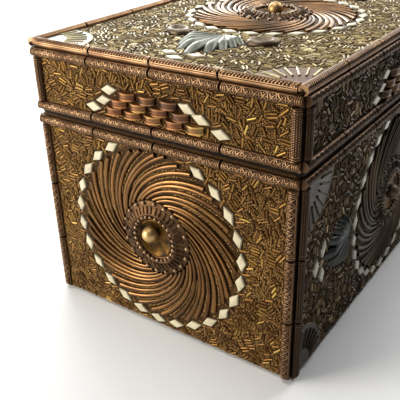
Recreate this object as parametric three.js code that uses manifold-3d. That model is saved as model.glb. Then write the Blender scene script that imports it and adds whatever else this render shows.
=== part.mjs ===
// Ornamented metal casket with a lift-off lid. Millimetres, +Z up, origin at the centre of the underside.
// The front, with the open ring of lozenges, looks along -Y and the long sides along -X and +X.

import * as THREE from "three";
import { mergeVertices } from "three/addons/utils/BufferGeometryUtils.js";
import Module from "manifold-3d";

const wasm = await Module();
wasm.setup();

// Carcass
const WIDTH = 140;
const DEPTH = 210;
const HEIGHT = 136;
const SEAM = 103.2; // height of the joint between body and lid
const BODY_WALL = 6;
const BODY_FLOOR = 6;
const LID_TOP = 5;
const LID_CORNER = 1.5;
const BODY_CORNER = 2.5;
const FOOT_BEVEL = 2.2;
const OVERCUT = 20; // how far a cutting block reaches past what it cuts

// Tongue inside the rim of the body that keeps the lid in place
const TONGUE_THICKNESS = 2;
const TONGUE_RISE = 3;
const TONGUE_ROOT = 2; // overlap with the wall below the joint
const TONGUE_PLAY = 0.3;
const LID_WALL = BODY_WALL - TONGUE_THICKNESS - TONGUE_PLAY;

// Round edge mouldings, sunk in the face a little below their axis
const ROD_RADIUS = 2.1;
const ROD_AXIS = 0.5; // height of the axis above the face
const ROD_SIDES = 8; // flats, with one on top
const ROD_LENGTH = 35; // length of the pieces that a moulding is butted from
const JOINT_WIDTH = 1.1;
const JOINT_DEPTH = 0.6;
const BUTT_GAP = 0.3; // left where one moulding meets another
const END_GAP = 0.4; // left at the ends, at the corners of the carcass
const LID_UPPER = 132.2; // heights of the axes on the sides
const LID_LOWER = 106.4;
const BODY_UPPER = 99.2;
const UPRIGHT_INSET = 2.7; // from the corner of the carcass to the axis of an upright
const RIM_INSET = 0.6; // from the edge of the top panel to the axis of a rim moulding, which hangs over it
const RIM_PLAY = 0.05; // between the overhang and the side
const RIM_REACH = 1.2; // how far the long rim mouldings run past the front and back
const UPRIGHT_FOOT = 1.2; // height of the lower end of an upright

// Swirl rosettes
const FRONT_CENTRE = [-3, 52.2];
const FRONT_RING = 47.3; // radius of the centre line of the lozenges
const SIDE_HEIGHT = 51.5; // of the centre of the rosettes on the other sides
const SIDE_RING = 45;
const FRONT_WIRES = 39;
const SIDE_WIRES = 28; // on the right side and the top
const HIDDEN_WIRES = 15; // on the back and the left side
const SWIRL_INNER = 18.7;
const WIRE_START = 20.6;
const WIRE_MIDDLE = 30.5; // a further bend of the ridges that show
const WIRE_END = 42.6;
const SWIRL_RIM = 45.3; // radius of the rim of the front disc
const SWIRL_ANGLE = 1.5; // radians turned while the radius grows by a factor of e
const WIRE_RIDGE = 1.7;
const WIRE_VALLEY = 0.4;
const RING_MARGIN = 2; // from the rim of the disc to the centre line of the lozenges
// Radius and height of the collars and the dish
const BOSS_PROFILE = [[0, 0.1], [19, 0.1], [17.8, 1.9], [15.6, 1.1], [12.2, 2.5], [9.2, 0.6], [0, 0.6]];
const BOSS_SIDES = 8;
const BALL_RADIUS = 4.3;
const BALL_HEIGHT = 2.7; // height of the centre of the ball above the face
const BALL_BANDS = 3;
const BALL_FOOT = -30; // degrees of latitude where the ball leaves the dish
const FRONT_HUB = [0.6, 0.6]; // how far the boss on the front sits off the centre of its ring of lozenges
const FRONT_BALL = [-1.8, 2.2]; // and the ball off the centre of the boss

// Lozenge tiles
const LOZENGE_LONG = 4.7; // half of the long diagonal
const LOZENGE_SHORT = 2.5;
const LOZENGE_THICKNESS = 1.1;
const FRONT_LOZENGES = [58, -241.2, 23]; // first and last angle in degrees, and count
const RIGHT_LOZENGES = [70, -250, 25];
const TOP_LOZENGES = [90, -256, 26];

// Corner fans
const FAN_RADIUS = 23;
const FAN_THICKNESS = 0.8;
const FAN_GAP = 0.4;
const FAN_FOOT = 2.2; // height of the lower fans
const FAN_SEGMENTS = 3;

// Palmettes
const PETAL_ANGLES = [-54, -40, -27, -14, 0, 14, 27, 40, 54];
const PETAL_SHARES = [0.57, 0.65, 0.73, 0.87, 1, 0.87, 0.73, 0.65, 0.57]; // of the length of the palmette
const PETAL_ROOT = 0.1; // where a petal starts, as a share of its own length
const PETAL_WIDTH = 2.6; // width of a petal, to which it adds a share of its length
const PETAL_SPREAD = 0.09;
const PETAL_RISE = 2.6;
const PETAL_SIDES = 6;
const PETAL_BANDS = 3;
const SIDE_PALMETTE = { length: 29, root: 50.5 }; // root: distance from the centre of the rosette
const TOP_PALMETTE = { length: 35, root: 52.4, shift: 1.7, sway: THREE.MathUtils.degToRad(4) };

// Oval bosses on the top panel
const OVAL_HALF_LONG = 7.4;
const OVAL_HALF_SHORT = 5.6;
const OVAL_RISE = 2.6;
const NEAR_OVALS = [[-21.2, -56.5, -35], [24.6, -56.5, 35]]; // place, and lean in degrees
const OVAL_SIDES = 8;
const OVAL_PROFILE = [[0, 0], [1, 0], [0.9, 0.8], [0.72, 1], [0.35, 0.55], [0, 0.55]]; // reach and rise

// Half-round scales
const SCALE_RADIUS = 5.3;
const SCALE_SINK = 2.1; // depth of the axis behind the face
const SCALE_ROWS = [[5, 0, 112.2], [4, -2, 116.2], [3, -2.6, 120.2]]; // count, middle and height of each row
const SCALE_PITCH = 11;
const SCALE_HEIGHT = 4.1;
const SCALE_SIDES = 8;

const brass = new THREE.MeshStandardMaterial({ color: 0x6f5a37, metalness: 0.9, roughness: 0.5 });
const bronze = new THREE.MeshStandardMaterial({ color: 0x7d6540, metalness: 0.9, roughness: 0.42 });
const copper = new THREE.MeshStandardMaterial({ color: 0x8a5a3c, metalness: 0.9, roughness: 0.45 });
const pewter = new THREE.MeshStandardMaterial({ color: 0x8d8d88, metalness: 0.9, roughness: 0.4 });

const casket = new THREE.Group();

function solidOf(geometry) {
  const bare = geometry.clone();
  bare.deleteAttribute("normal");
  bare.deleteAttribute("uv");
  const welded = mergeVertices(bare, 1e-4);
  const vertProperties = new Float32Array(welded.attributes.position.array);
  const triVerts = new Uint32Array(welded.index.array);
  return new wasm.Manifold(new wasm.Mesh({ numProp: 3, vertProperties, triVerts }));
}

function geometryOf(solid) {
  const { vertProperties, triVerts } = solid.getMesh();
  const geometry = new THREE.BufferGeometry();
  geometry.setAttribute("position", new THREE.BufferAttribute(vertProperties, 3));
  geometry.setIndex(new THREE.BufferAttribute(triVerts, 1));
  geometry.computeVertexNormals();
  return geometry;
}

function block(x0, x1, y0, y1, z0, z1) {
  const box = new THREE.BoxGeometry(x1 - x0, y1 - y0, z1 - z0);
  return solidOf(box.translate((x0 + x1) / 2, (y0 + y1) / 2, (z0 + z1) / 2));
}

// What lies behind the plane of a face, cut off the back of everything set on it
function behindFace() {
  return block(-DEPTH, DEPTH, -DEPTH, DEPTH, -OVERCUT, 0);
}

function addPiece(parent, name, geometry, material, x = 0, y = 0, turn = 0) {
  const mesh = new THREE.Mesh(geometry, material);
  mesh.name = name;
  mesh.position.set(x, y, 0);
  mesh.rotation.z = turn;
  parent.add(mesh);
}

// A face of the carcass: local x runs to the right along it, y up and z outwards.
function addFace(quarterTurns, distance) {
  const turn = new THREE.Group();
  turn.rotation.z = quarterTurns * Math.PI / 2;
  const face = new THREE.Group();
  face.rotation.x = Math.PI / 2;
  face.position.y = -distance;
  turn.add(face);
  casket.add(turn);
  return face;
}

function roundedRectangle(width, depth, radius) {
  const x = width / 2 - radius;
  const y = depth / 2 - radius;
  const shape = new THREE.Shape();
  shape.absarc(x, y, radius, 0, Math.PI / 2);
  shape.absarc(-x, y, radius, Math.PI / 2, Math.PI);
  shape.absarc(-x, -y, radius, Math.PI, Math.PI * 1.5);
  shape.absarc(x, -y, radius, Math.PI * 1.5, Math.PI * 2);
  return shape;
}

function prism(width, depth, radius, z0, z1) {
  const shape = roundedRectangle(width, depth, radius);
  const options = { depth: z1 - z0, bevelEnabled: false, curveSegments: 1 };
  return solidOf(new THREE.ExtrudeGeometry(shape, options).translate(0, 0, z0));
}

function column(width, depth, z0, z1) {
  return block(-width / 2, width / 2, -depth / 2, depth / 2, z0, z1);
}

// Hollow body with a bevelled foot and a tongue standing inside its rim
function bodyGeometry() {
  const options = {
    depth: SEAM + OVERCUT,
    bevelThickness: FOOT_BEVEL,
    bevelSize: FOOT_BEVEL,
    bevelOffset: -FOOT_BEVEL,
    bevelSegments: 2,
    curveSegments: 1,
  };
  const shape = roundedRectangle(WIDTH, DEPTH, BODY_CORNER);
  const bevelled = solidOf(new THREE.ExtrudeGeometry(shape, options).translate(0, 0, FOOT_BEVEL));
  const outer = bevelled.subtract(block(-WIDTH, WIDTH, -DEPTH, DEPTH, SEAM, SEAM + 2 * OVERCUT));
  const inset = 2 * (BODY_WALL - TONGUE_THICKNESS);
  const tongue = column(WIDTH - inset, DEPTH - inset, SEAM - TONGUE_ROOT, SEAM + TONGUE_RISE);
  const hollow = column(WIDTH - 2 * BODY_WALL, DEPTH - 2 * BODY_WALL, BODY_FLOOR, SEAM + OVERCUT);
  return geometryOf(outer.add(tongue).subtract(hollow));
}

// Hollow cap that lies on the rim of the body
function lidGeometry() {
  const outer = prism(WIDTH, DEPTH, LID_CORNER, SEAM, HEIGHT);
  const inset = 2 * LID_WALL;
  const hollow = column(WIDTH - inset, DEPTH - inset, SEAM - OVERCUT, HEIGHT - LID_TOP);
  return geometryOf(outer.subtract(hollow));
}

// The lid under a rim moulding that runs along x, with the side of the lid towards +y
function underRim() {
  return block(-DEPTH / 2, DEPTH / 2, -OVERCUT, RIM_INSET + RIM_PLAY, -OVERCUT, 0);
}

// Round rod along x, butted from equal pieces, with what lies in the carcass cut off it
function rodGeometry(length, jointed, carcass) {
  const pieces = jointed ? Math.max(1, Math.round(length / ROD_LENGTH)) : 1;
  const half = JOINT_WIDTH / 2;
  const radius = ROD_RADIUS / Math.cos(Math.PI / ROD_SIDES);
  const profile = [new THREE.Vector2(0, 0), new THREE.Vector2(radius, 0)];
  for (let joint = 1; joint < pieces; joint++) {
    const along = length * joint / pieces;
    profile.push(new THREE.Vector2(radius, along - half));
    profile.push(new THREE.Vector2(radius - JOINT_DEPTH, along));
    profile.push(new THREE.Vector2(radius, along + half));
  }
  profile.push(new THREE.Vector2(radius, length), new THREE.Vector2(0, length));
  const lathe = new THREE.LatheGeometry(profile, ROD_SIDES, Math.PI / ROD_SIDES);
  lathe.translate(0, -length / 2, 0);
  lathe.rotateZ(-Math.PI / 2);
  lathe.translate(0, 0, ROD_AXIS);
  return geometryOf(solidOf(lathe).subtract(carcass));
}

function addRod(face, name, x, y, length, upright, jointed) {
  addPiece(face, name, rodGeometry(length, jointed, behindFace()), bronze, x, y, upright ? Math.PI / 2 : 0);
}

function addUprights(face, side, zone, bottom, top, halfWidth, jointed) {
  const x = halfWidth - UPRIGHT_INSET;
  const y = (bottom + top) / 2;
  addRod(face, `${zone}_upright_${side}_a`, -x, y, top - bottom, true, jointed);
  addRod(face, `${zone}_upright_${side}_b`, x, y, top - bottom, true, jointed);
}

// The hidden sides have plain mouldings, without cut joints.
function addSideMouldings(face, side, halfWidth, jointed) {
  const length = 2 * (halfWidth - END_GAP);
  const reach = ROD_RADIUS + BUTT_GAP;
  addRod(face, `lid_upper_moulding_${side}`, 0, LID_UPPER, length, false, jointed);
  addRod(face, `lid_lower_moulding_${side}`, 0, LID_LOWER, length, false, jointed);
  addRod(face, `body_upper_moulding_${side}`, 0, BODY_UPPER, length, false, jointed);
  addUprights(face, side, "lid", LID_LOWER + reach, LID_UPPER - reach, halfWidth, jointed);
  addUprights(face, side, "body", UPRIGHT_FOOT, BODY_UPPER - reach, halfWidth, jointed);
}

function addRimMouldings(top) {
  const x = WIDTH / 2 - RIM_INSET;
  const y = DEPTH / 2 - RIM_INSET;
  const long = rodGeometry(DEPTH + 2 * RIM_REACH, true, underRim());
  const short = rodGeometry(2 * (x - ROD_RADIUS - BUTT_GAP), true, underRim());
  addPiece(top, "rim_moulding_left", long, bronze, -x, 0, Math.PI / 2);
  addPiece(top, "rim_moulding_right", long, bronze, x, 0, -Math.PI / 2);
  addPiece(top, "rim_moulding_front", short, bronze, 0, -y, Math.PI);
  addPiece(top, "rim_moulding_back", short, bronze, 0, y, 0);
}

function lozengeSolid(x, y, angle) {
  const shape = new THREE.Shape();
  shape.moveTo(LOZENGE_LONG, 0);
  shape.lineTo(0, LOZENGE_SHORT);
  shape.lineTo(-LOZENGE_LONG, 0);
  shape.lineTo(0, -LOZENGE_SHORT);
  const tile = new THREE.ExtrudeGeometry(shape, { depth: LOZENGE_THICKNESS, bevelEnabled: false });
  return solidOf(tile.rotateZ(angle).translate(x, y, 0));
}

// Lozenges on a circle, clockwise from the first angle to the last, in degrees
function lozengeRing(radius, [first, last, count]) {
  const tiles = [];
  for (let i = 0; i < count; i++) {
    const angle = THREE.MathUtils.degToRad(first - (first - last) * i / (count - 1));
    const x = radius * Math.cos(angle);
    const y = radius * Math.sin(angle);
    tiles.push(lozengeSolid(x, y, angle + Math.PI / 2));
  }
  return tiles;
}

// Disc with a ridge for each wire, turning clockwise as it runs out and thinning to nothing at the rim.
// The ridges start round the hub and end round the centre of the disc.
function swirlSolid(radius, wires, middleRings, hub) {
  const rings = [WIRE_END + radius - SWIRL_RIM, ...middleRings, WIRE_START];
  const profile = [new THREE.Vector2(0, 0), new THREE.Vector2(radius, 0)];
  profile.push(...rings.map((r) => new THREE.Vector2(r, WIRE_RIDGE)));
  profile.push(new THREE.Vector2(SWIRL_INNER, WIRE_VALLEY), new THREE.Vector2(0, WIRE_VALLEY));
  const disc = new THREE.LatheGeometry(profile, 2 * wires).rotateX(Math.PI / 2);
  const position = disc.attributes.position;
  for (let i = 0; i < position.count; i++) {
    const x = position.getX(i);
    const y = position.getY(i);
    const r = Math.hypot(x, y);
    if (r < SWIRL_INNER / 2) continue;
    const angle = Math.atan2(y, x);
    const column = Math.round((angle + Math.PI / 2) * wires / Math.PI);
    const turned = angle - SWIRL_ANGLE * Math.log(r / SWIRL_INNER);
    const valley = position.getZ(i) > WIRE_VALLEY && column % 2 !== 0;
    const z = valley ? WIRE_VALLEY : position.getZ(i);
    const pull = (radius - r) / (radius - SWIRL_INNER);
    position.setXYZ(i, r * Math.cos(turned) + pull * hub[0], r * Math.sin(turned) + pull * hub[1], z);
  }
  return solidOf(disc);
}

function turned(points) {
  return solidOf(new THREE.LatheGeometry(points, BOSS_SIDES).rotateX(Math.PI / 2));
}

// Two collars for the beads and a dish
function bossSolid() {
  return turned(BOSS_PROFILE.map(([r, z]) => new THREE.Vector2(r, z)));
}

// Ball knob with a flat foot in the dish
function ballSolid() {
  const foot = BALL_HEIGHT + BALL_RADIUS * Math.sin(THREE.MathUtils.degToRad(BALL_FOOT));
  const points = [new THREE.Vector2(0, foot)];
  for (let i = 0; i <= BALL_BANDS; i++) {
    const angle = THREE.MathUtils.degToRad(BALL_FOOT + (90 - BALL_FOOT) * i / BALL_BANDS);
    const r = i === BALL_BANDS ? 0 : BALL_RADIUS * Math.cos(angle);
    points.push(new THREE.Vector2(r, BALL_HEIGHT + BALL_RADIUS * Math.sin(angle)));
  }
  return turned(points);
}

function addRosette(face, side, x, y, radius, look) {
  const { wires, middleRings = [WIRE_MIDDLE], hub = [0, 0], ball = [0, 0], tiles, ceiling } = look;
  const knob = ballSolid().translate([hub[0] + ball[0], hub[1] + ball[1], 0]);
  const boss = bossSolid().translate([...hub, 0]);
  const parts = [swirlSolid(radius - RING_MARGIN, wires, middleRings, hub), boss, knob, ...tiles];
  let rosette = wasm.Manifold.union(parts);
  if (ceiling !== undefined) {
    rosette = rosette.subtract(block(-DEPTH, DEPTH, ceiling - y, DEPTH, -OVERCUT, OVERCUT));
  }
  addPiece(face, `swirl_rosette_${side}`, geometryOf(rosette), brass, x, y);
}

// Quarter disc with its apex at the origin, opening towards +x and +y
function fanGeometry() {
  const shape = new THREE.Shape();
  shape.moveTo(0, 0);
  shape.lineTo(FAN_RADIUS, 0);
  shape.absarc(0, 0, FAN_RADIUS, 0, Math.PI / 2);
  shape.lineTo(0, 0);
  const options = { depth: FAN_THICKNESS, bevelEnabled: false, curveSegments: FAN_SEGMENTS };
  return geometryOf(solidOf(new THREE.ExtrudeGeometry(shape, options)));
}

function addFans(face, side, x0, x1, y0, y1) {
  const corners = [[x0, y0], [x1, y0], [x1, y1], [x0, y1]];
  corners.forEach(([x, y], i) => {
    addPiece(face, `corner_fan_${side}_${i + 1}`, fanGeometry(), copper, x, y, i * Math.PI / 2);
  });
}

// Spread petals growing along +y from the origin
function palmetteGeometry(length) {
  const petals = PETAL_ANGLES.map((degrees, i) => {
    const tip = length * PETAL_SHARES[i];
    const half = tip * (1 - PETAL_ROOT) / 2;
    const petal = new THREE.SphereGeometry(1, PETAL_SIDES, PETAL_BANDS);
    petal.scale((PETAL_WIDTH + PETAL_SPREAD * tip) / 2, half, PETAL_RISE);
    petal.translate(0, tip - half, 0);
    return solidOf(petal.rotateZ(THREE.MathUtils.degToRad(degrees)));
  });
  return geometryOf(wasm.Manifold.union(petals).subtract(behindFace()));
}

// Oval with a raised rim and a dished middle
function ovalGeometry() {
  const profile = OVAL_PROFILE.map(([reach, rise]) => new THREE.Vector2(reach, rise));
  const oval = new THREE.LatheGeometry(profile, OVAL_SIDES).rotateX(Math.PI / 2);
  return geometryOf(solidOf(oval.scale(OVAL_HALF_LONG, OVAL_HALF_SHORT, OVAL_RISE)));
}

function addOvals(face, side, places) {
  places.forEach(([x, y, lean], i) => {
    const turn = THREE.MathUtils.degToRad(lean);
    addPiece(face, `oval_boss_${side}_${i + 1}`, ovalGeometry(), pewter, x, y, turn);
  });
}

// Rows of half-round scales, one row standing on the next
function scaleRowsGeometry() {
  const scales = [];
  for (const [count, middle, height] of SCALE_ROWS) {
    for (let i = 0; i < count; i++) {
      const scale = new THREE.CylinderGeometry(SCALE_RADIUS, SCALE_RADIUS, SCALE_HEIGHT, SCALE_SIDES);
      scale.translate(middle + SCALE_PITCH * (i - (count - 1) / 2), height, -SCALE_SINK);
      scales.push(solidOf(scale));
    }
  }
  return geometryOf(wasm.Manifold.union(scales).subtract(behindFace()));
}

addPiece(casket, "body", bodyGeometry(), brass);
addPiece(casket, "lid", lidGeometry(), brass);

const front = addFace(0, DEPTH / 2);
const right = addFace(1, WIDTH / 2);
const back = addFace(2, DEPTH / 2);
const left = addFace(3, WIDTH / 2);
const top = new THREE.Group();
top.position.z = HEIGHT;
casket.add(top);

addSideMouldings(front, "front", WIDTH / 2, true);
addSideMouldings(right, "right", DEPTH / 2, true);
addSideMouldings(back, "back", WIDTH / 2, false);
addSideMouldings(left, "left", DEPTH / 2, false);
addRimMouldings(top);

const ceiling = BODY_UPPER - ROD_RADIUS - BUTT_GAP;
const plain = { wires: HIDDEN_WIRES, middleRings: [], tiles: [], ceiling };
const frontTiles = lozengeRing(FRONT_RING, FRONT_LOZENGES);
const rightTiles = lozengeRing(SIDE_RING, RIGHT_LOZENGES);
const topTiles = lozengeRing(SIDE_RING, TOP_LOZENGES);
const frontLook = { wires: FRONT_WIRES, tiles: frontTiles, ceiling, hub: FRONT_HUB, ball: FRONT_BALL };
addRosette(front, "front", ...FRONT_CENTRE, FRONT_RING, frontLook);
addRosette(right, "right", 0, SIDE_HEIGHT, SIDE_RING, { wires: SIDE_WIRES, tiles: rightTiles, ceiling });
addRosette(back, "back", 0, SIDE_HEIGHT, SIDE_RING, plain);
addRosette(left, "left", 0, SIDE_HEIGHT, SIDE_RING, plain);
addRosette(top, "top", 0, 0, SIDE_RING, { wires: SIDE_WIRES, tiles: topTiles });

const fanX = DEPTH / 2 - UPRIGHT_INSET - ROD_RADIUS - FAN_GAP;
addFans(right, "right", -fanX, fanX, FAN_FOOT, ceiling);
const rimReach = RIM_INSET + ROD_RADIUS + FAN_GAP;
addFans(top, "top", rimReach - WIDTH / 2, WIDTH / 2 - rimReach, rimReach - DEPTH / 2, DEPTH / 2 - rimReach);

const sidePalmette = palmetteGeometry(SIDE_PALMETTE.length);
addPiece(right, "palmette_right_front", sidePalmette, pewter, -SIDE_PALMETTE.root, SIDE_HEIGHT, Math.PI / 2);
addPiece(right, "palmette_right_back", sidePalmette, pewter, SIDE_PALMETTE.root, SIDE_HEIGHT, -Math.PI / 2);
const topPalmette = palmetteGeometry(TOP_PALMETTE.length);
const { root, shift, sway } = TOP_PALMETTE;
addPiece(top, "palmette_top_front", topPalmette, pewter, shift, -root, Math.PI + sway);
addPiece(top, "palmette_top_back", topPalmette, pewter, -shift, root, sway);

const farOvals = NEAR_OVALS.map(([x, y, lean]) => [-x, -y, lean]);
addOvals(top, "top", [...NEAR_OVALS, ...farOvals]);

addPiece(front, "scale_rows_front", scaleRowsGeometry(), copper);
addPiece(right, "scale_rows_right", scaleRowsGeometry(), copper);

export default casket;
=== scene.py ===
import math
import random

import bpy
import numpy as np
from mathutils import Matrix, Vector


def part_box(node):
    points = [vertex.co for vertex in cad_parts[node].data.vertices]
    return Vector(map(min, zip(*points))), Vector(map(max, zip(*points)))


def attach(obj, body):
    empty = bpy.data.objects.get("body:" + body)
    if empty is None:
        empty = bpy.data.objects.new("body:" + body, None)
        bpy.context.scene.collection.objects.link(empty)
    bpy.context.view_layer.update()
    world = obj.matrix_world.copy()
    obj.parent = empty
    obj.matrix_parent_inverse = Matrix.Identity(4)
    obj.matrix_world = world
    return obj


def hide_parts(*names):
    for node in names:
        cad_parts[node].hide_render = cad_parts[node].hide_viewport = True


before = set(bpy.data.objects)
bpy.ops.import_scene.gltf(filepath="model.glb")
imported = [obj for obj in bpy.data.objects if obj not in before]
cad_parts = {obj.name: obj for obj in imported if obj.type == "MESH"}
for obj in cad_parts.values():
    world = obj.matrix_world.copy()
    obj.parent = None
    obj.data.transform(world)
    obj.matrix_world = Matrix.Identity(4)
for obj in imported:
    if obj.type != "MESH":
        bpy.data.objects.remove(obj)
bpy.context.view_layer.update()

mm = 0.001
bodyHigh, (lidLow, lidHigh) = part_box("body")[1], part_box("lid")
casket = {"halfWidth": bodyHigh.x / mm, "halfDepth": bodyHigh.y / mm,
          "height": lidHigh.z / mm, "seam": lidLow.z / mm}
print("casket: frame loaded,", len(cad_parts), "nodes")


# nodes written as sums
class Flow:
    def __init__(self, tree, socket=None):
        self.tree = tree
        self.socket = socket

    def feed(self, target, value):
        if isinstance(value, Flow):
            self.tree.links.new(value.socket, target)
        elif value is not None:
            target.default_value = value

    def add(self, kind, settings=None, sockets=None, out=0):
        node = self.tree.nodes.new(kind)
        for name, value in (settings or {}).items():
            if name == "stops":
                stops = node.color_ramp.elements
                while len(stops) < len(value):
                    stops.new(1.0)
                for stop, (place, colour) in zip(stops, value):
                    stop.position = place
                    stop.color = (*colour, 1.0)
            else:
                setattr(node, name, value)
        for name, value in (sockets or {}).items():
            self.feed(node.inputs[name], value)
        return Flow(self.tree, node.outputs[out])

    def maths(self, operation, first, second=None):
        return self.add("ShaderNodeMath", {"operation": operation}, {0: first, 1: second})

    def __add__(self, other):
        return self.maths("ADD", self, other)

    def __sub__(self, other):
        return self.maths("SUBTRACT", self, other)

    def __rsub__(self, other):
        return self.maths("SUBTRACT", other, self)

    def __mul__(self, other):
        return self.maths("MULTIPLY", self, other)

    def __pow__(self, other):
        return self.maths("POWER", self, other)

    __radd__ = __add__

    def over(self, low, high):  # 0 at low, 1 at high, smooth between
        sockets = {"Value": self, "From Min": low, "From Max": high}
        return self.add("ShaderNodeMapRange", {"interpolation_type": "SMOOTHSTEP"}, sockets)

    def blend(self, first, second, share, how="MIX"):
        settings = {"data_type": "RGBA", "blend_type": how}
        return self.add("ShaderNodeMix", settings, {0: share, 6: first, 7: second}, 2)


def rgb(red, green, blue):
    return (red, green, blue, 1.0)


def polar(x, y, radius, angle):  # the point at this radius and angle from (x, y)
    return x + radius * math.cos(angle), y + radius * math.sin(angle)


def newFinish(name):
    finish = bpy.data.materials.new(name)
    finish.use_nodes = True
    return finish, Flow(finish.node_tree), finish.node_tree.nodes["Principled BSDF"]


def objectPlace(flow):
    return flow.add("ShaderNodeTexCoord", None, None, "Object")


def cloud(flow, size, detail=4.0):  # noise with blotches of this size in mm
    sockets = {"Vector": objectPlace(flow), "Scale": 1.0 / (size * mm), "Detail": detail}
    return flow.add("ShaderNodeTexNoise", None, sockets)


fineDetail = 2.0


def ownValue(flow, name):
    return flow.add("ShaderNodeAttribute", {"attribute_name": name}, None, "Fac")


def bump(flow, height, strength, depth):
    sockets = {"Strength": strength, "Distance": depth * mm, "Height": height}
    return flow.add("ShaderNodeBump", None, sockets)


def finishUp(flow, shader, colour, roughness, metallic, normal=None):
    flow.feed(shader.inputs["Base Color"], colour)
    flow.feed(shader.inputs["Roughness"], roughness)
    flow.feed(shader.inputs["Metallic"], metallic)
    flow.feed(shader.inputs["Normal"], normal)


# granulated brass of the walls: grains, darker between them, plain inside; paler on the top with dust and
# painted sheen, painted shade on the right face, painted shadow in the lid seam and corner notches
groundLook = {"grain": 0.62, "ball": (0.05, 0.62), "patch": 14.0, "patches": (0.35, 0.68),
              "dustAndSheenShare": 0.7, "grainCrown": (0.1, 0.75), "metallic": 0.85, "roughness": 0.52,
              "polish": 0.1, "bump": (0.9, 0.35), "seamReach": (0.55, 1.1), "cornerReach": (1.33, 1.9),
              "faceReach": (0.5, 1.0), "skin": (0.8, 1.4),
              "betweenGrains": rgb(0.036, 0.017, 0.005), "brown": rgb(0.125, 0.060, 0.016),
              "brass": rgb(0.260, 0.130, 0.032), "dustAndSheen": rgb(0.230, 0.170, 0.090),
              "paintedShadeRight": rgb(0.040, 0.026, 0.014), "inside": rgb(0.100, 0.058, 0.025),
              "gap": rgb(0.008, 0.005, 0.003)}


def groundFinish():
    finish, flow, shader = newFinish("granulatedBrass")
    place = objectPlace(flow)
    sockets = {"Vector": place, "Scale": 1.0 / (groundLook["grain"] * mm)}
    ball = 1 - flow.add("ShaderNodeTexVoronoi", None, sockets).over(*groundLook["ball"])
    patina = cloud(flow, groundLook["patch"]).over(*groundLook["patches"])
    axes = flow.add("ShaderNodeSeparateXYZ", None, {0: place}).socket.node.outputs
    x, y, z = (Flow(flow.tree, axes[axis]) for axis in "XYZ")
    fromSide = casket["halfWidth"] * mm - flow.maths("ABSOLUTE", x)
    fromEnd = casket["halfDepth"] * mm - flow.maths("ABSOLUTE", y)
    fromTop = casket["height"] * mm - z
    near, far = groundLook["faceReach"]
    onTop = 1 - fromTop.over(near * mm, far * mm)
    onRight = x.over((casket["halfWidth"] - far) * mm, (casket["halfWidth"] - near) * mm)
    metal = flow.blend(groundLook["brown"], groundLook["brass"], patina)
    # paler on the top: dust, and painted sheen of the light from behind
    metal = flow.blend(metal, groundLook["dustAndSheen"], onTop * groundLook["dustAndSheenShare"])
    # painted shade: the ground on the right face is darkened as if it stood in shade
    metal = flow.blend(metal, groundLook["paintedShadeRight"], onRight * (1 - onTop))
    # darker between the grains
    outside = flow.blend(groundLook["betweenGrains"], metal, ball.over(*groundLook["grainCrown"]))
    depth = flow.maths("MINIMUM", flow.maths("MINIMUM", fromSide, fromEnd), fromTop)
    near, far = groundLook["skin"]
    skin = 1 - depth.over(near * mm, far * mm)
    # painted shadow: near the lid seam and in the corner notches the ground turns to the near-black gap
    # colour
    fromSeam = flow.maths("ABSOLUTE", z - casket["seam"] * mm)
    fromCorner = flow.maths("MAXIMUM", fromSide, fromEnd)
    near, far = groundLook["seamReach"]
    unshaded = fromSeam.over(near * mm, far * mm)
    near, far = groundLook["cornerReach"]
    unshaded = unshaded * flow.maths("MAXIMUM", fromCorner.over(near * mm, far * mm), onTop)
    shown = flow.blend(groundLook["inside"], flow.blend(groundLook["gap"], outside, unshaded), skin)
    roughness = groundLook["roughness"] - patina * groundLook["polish"]
    grainy = bump(flow, ball * skin, *groundLook["bump"])
    finishUp(flow, shader, shown, roughness, groundLook["metallic"], grainy)
    return finish


# chopped wire: tone runs from dull brown through brass to a few yellow ones
bitLook = {"bit": ((0.116, 0.051, 0.0105), (0.262, 0.134, 0.031), (0.560, 0.380, 0.100)),
           "bitTop": ((0.150, 0.105, 0.040), (0.350, 0.260, 0.110), (0.740, 0.670, 0.430)),  # dusty, and paler with painted sheen
           "bitRight": ((0.036, 0.021, 0.010), (0.115, 0.074, 0.036), (0.360, 0.270, 0.160))}  # painted shade of the right face
bitSheen = {"brassAt": 0.62, "patch": 16.0, "patches": (0.3, 0.7), "darker": rgb(0.55, 0.52, 0.50),
            "brighter": rgb(1.1, 1.1, 1.05), "scratch": 0.8, "scratchRough": 0.25, "bump": (0.25, 0.05),
            "roughness": 0.34, "metallic": 0.92, "coat": 0.12, "coatRoughness": 0.3}


def bitFinish(name):
    finish, flow, shader = newFinish("choppedWire_" + name)
    dull, brass, yellow = bitLook[name]
    stops = [(0.0, dull), (bitSheen["brassAt"], brass), (1.0, yellow)]
    ramp = flow.add("ShaderNodeValToRGB", {"stops": stops}, {0: ownValue(flow, "tone")})
    patina = cloud(flow, bitSheen["patch"]).over(*bitSheen["patches"])
    colour = flow.blend(bitSheen["darker"], bitSheen["brighter"], patina)
    colour = flow.blend(ramp, colour, 1.0, "MULTIPLY")
    scratch = cloud(flow, bitSheen["scratch"], fineDetail)
    roughness = bitSheen["roughness"] + scratch * bitSheen["scratchRough"]
    finishUp(flow, shader, colour, roughness, bitSheen["metallic"], bump(flow, scratch, *bitSheen["bump"]))
    shader.inputs["Coat Weight"].default_value = bitSheen["coat"]
    shader.inputs["Coat Roughness"].default_value = bitSheen["coatRoughness"]
    return finish


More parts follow.
